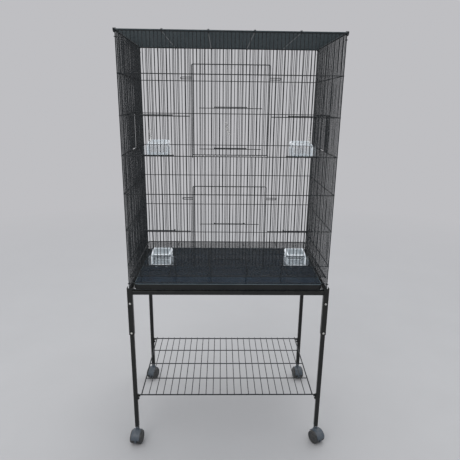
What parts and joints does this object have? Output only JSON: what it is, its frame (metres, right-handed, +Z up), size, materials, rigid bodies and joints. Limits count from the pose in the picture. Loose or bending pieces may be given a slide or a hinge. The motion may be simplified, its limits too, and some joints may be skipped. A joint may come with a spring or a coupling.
{
  "type": "bird cage on stand",
  "caption": "Tall black wire flight cage with drop-down and lift-up doors, clear cups, slide-out grate and tray, on a rolling square-tube stand with a wire shelf.",
  "frame": {"origin": "on the floor, under the middle of the cage and stand", "axes": "+Z up, +X to the right and +Y to the back as seen from in front of the doors"},
  "size_m": [0.8268, 0.5245, 1.611],
  "materials": {
    "black_wire": "satin black powder coat on wire",
    "black_tube": "satin black powder coat on tube",
    "zinc": "bright zinc plate",
    "black_plastic": "matt moulded",
    "clear_plastic": "clear moulded",
    "tray_plastic": "glossy blue-black moulded",
    "caster_plastic": "blue-grey moulded nylon"
  },
  "bodies": {
    "cage_and_stand": {"front_panel": "black_wire", "back_panel": "black_wire", "left_panel": "black_wire", "right_panel": "black_wire", "top_panel": "black_wire", "base_frame": "black_wire", "panel_clips": "black_wire", "stand_rails": "black_tube", "leg_bolts": "zinc", "leg_plugs": "black_plastic", "wire_shelf": "black_wire", "shelf_brackets": "black_tube", "sleeve_front_left": "black_tube", "leg_front_left": "black_tube", "sleeve_front_right": "black_tube", "leg_front_right": "black_tube", "sleeve_back_left": "black_tube", "leg_back_left": "black_tube", "sleeve_back_right": "black_tube", "leg_back_right": "black_tube", "upper_left_cup": "clear_plastic", "upper_right_cup": "clear_plastic", "lower_left_cup": "clear_plastic", "lower_right_cup": "clear_plastic"},
    "upper_door": {"upper_door": "black_wire", "upper_door_frame": "black_wire"},
    "upper_small_door": {"upper_small_door": "black_wire", "spring_hook_small_door": "zinc"},
    "lower_door": {"lower_door": "black_wire", "lower_door_frame": "black_wire"},
    "lower_small_door": {"lower_small_door": "black_wire"},
    "upper_left_feeder_door": {"upper_left_feeder_door": "black_wire", "spring_hook_left_feeder": "zinc"},
    "upper_right_feeder_door": {"upper_right_feeder_door": "black_wire", "spring_hook_right_feeder": "zinc"},
    "lower_left_feeder_door": {"lower_left_feeder_door": "black_wire"},
    "lower_right_feeder_door": {"lower_right_feeder_door": "black_wire"},
    "left_side_door": {"left_side_door": "black_wire", "spring_hook_left_side": "zinc"},
    "right_side_door": {"right_side_door": "black_wire", "spring_hook_right_side": "zinc"},
    "tray": {"tray": "tray_plastic"},
    "floor_grate": {"floor_grate": "black_wire"},
    "caster_front_left": {"caster_hood_front_left": "caster_plastic", "caster_stem_front_left": "zinc"},
    "wheels_front_left": {"caster_wheels_front_left": "caster_plastic"},
    "caster_front_right": {"caster_hood_front_right": "caster_plastic", "caster_stem_front_right": "zinc"},
    "wheels_front_right": {"caster_wheels_front_right": "caster_plastic"},
    "caster_back_left": {"caster_hood_back_left": "caster_plastic", "caster_stem_back_left": "zinc"},
    "wheels_back_left": {"caster_wheels_back_left": "caster_plastic"},
    "caster_back_right": {"caster_hood_back_right": "caster_plastic", "caster_stem_back_right": "zinc"},
    "wheels_back_right": {"caster_wheels_back_right": "caster_plastic"}
  },
  "joints": [
    {"name": "upper_door_hinge", "type": "hinge", "parent": "cage_and_stand", "child": "upper_door", "pos_m": [0, -0.227, 1.2015], "axis": [1, 0, 0], "range_deg": [0, 135]},
    {"name": "upper_small_door_lift", "type": "slide", "parent": "upper_door", "child": "upper_small_door", "axis": [0, 0, 1], "range_m": [0, 0.095]},
    {"name": "lower_door_hinge", "type": "hinge", "parent": "cage_and_stand", "child": "lower_door", "pos_m": [0, -0.227, 0.792], "axis": [1, 0, 0], "range_deg": [0, 135]},
    {"name": "lower_small_door_lift", "type": "slide", "parent": "lower_door", "child": "lower_small_door", "axis": [0, 0, 1], "range_m": [0, 0.095]},
    {"name": "upper_left_feeder_lift", "type": "slide", "parent": "cage_and_stand", "child": "upper_left_feeder_door", "axis": [0, 0, 1], "range_m": [0, 0.11]},
    {"name": "upper_right_feeder_lift", "type": "slide", "parent": "cage_and_stand", "child": "upper_right_feeder_door", "axis": [0, 0, 1], "range_m": [0, 0.11]},
    {"name": "lower_left_feeder_lift", "type": "slide", "parent": "cage_and_stand", "child": "lower_left_feeder_door", "axis": [0, 0, 1], "range_m": [0, 0.11]},
    {"name": "lower_right_feeder_lift", "type": "slide", "parent": "cage_and_stand", "child": "lower_right_feeder_door", "axis": [0, 0, 1], "range_m": [0, 0.11]},
    {"name": "left_side_door_lift", "type": "slide", "parent": "cage_and_stand", "child": "left_side_door", "axis": [0, 0, 1], "range_m": [0, 0.11]},
    {"name": "right_side_door_lift", "type": "slide", "parent": "cage_and_stand", "child": "right_side_door", "axis": [0, 0, 1], "range_m": [0, 0.11]},
    {"name": "tray_slide", "type": "slide", "parent": "cage_and_stand", "child": "tray", "axis": [0, 1, 0], "range_m": [-0.4, 0]},
    {"name": "grate_slide", "type": "slide", "parent": "cage_and_stand", "child": "floor_grate", "axis": [0, 1, 0], "range_m": [-0.4, 0]},
    {"name": "swivel_front_left", "type": "hinge", "parent": "cage_and_stand", "child": "caster_front_left", "pos_m": [-0.377, -0.228, 0.09], "axis": [0, 0, 1], "continuous": true},
    {"name": "roll_front_left", "type": "hinge", "parent": "caster_front_left", "child": "wheels_front_left", "pos_m": [-0.37825, -0.23691, 0.027], "axis": [-0.9903, 0.1392, 0], "continuous": true},
    {"name": "swivel_front_right", "type": "hinge", "parent": "cage_and_stand", "child": "caster_front_right", "pos_m": [0.377, -0.228, 0.09], "axis": [0, 0, 1], "continuous": true},
    {"name": "roll_front_right", "type": "hinge", "parent": "caster_front_right", "child": "wheels_front_right", "pos_m": [0.3815, -0.23579, 0.027], "axis": [-0.866, -0.5, 0], "continuous": true},
    {"name": "swivel_back_left", "type": "hinge", "parent": "cage_and_stand", "child": "caster_back_left", "pos_m": [-0.377, 0.228, 0.09], "axis": [0, 0, 1], "continuous": true},
    {"name": "roll_back_left", "type": "hinge", "parent": "caster_back_left", "child": "wheels_back_left", "pos_m": [-0.38008, 0.21954, 0.027], "axis": [-0.9397, 0.342, 0], "continuous": true},
    {"name": "swivel_back_right", "type": "hinge", "parent": "cage_and_stand", "child": "caster_back_right", "pos_m": [0.377, 0.228, 0.09], "axis": [0, 0, 1], "continuous": true},
    {"name": "roll_back_right", "type": "hinge", "parent": "caster_back_right", "child": "wheels_back_right", "pos_m": [0.37778, 0.21903, 0.027], "axis": [-0.9962, -0.0872, 0], "continuous": true}
  ]
}
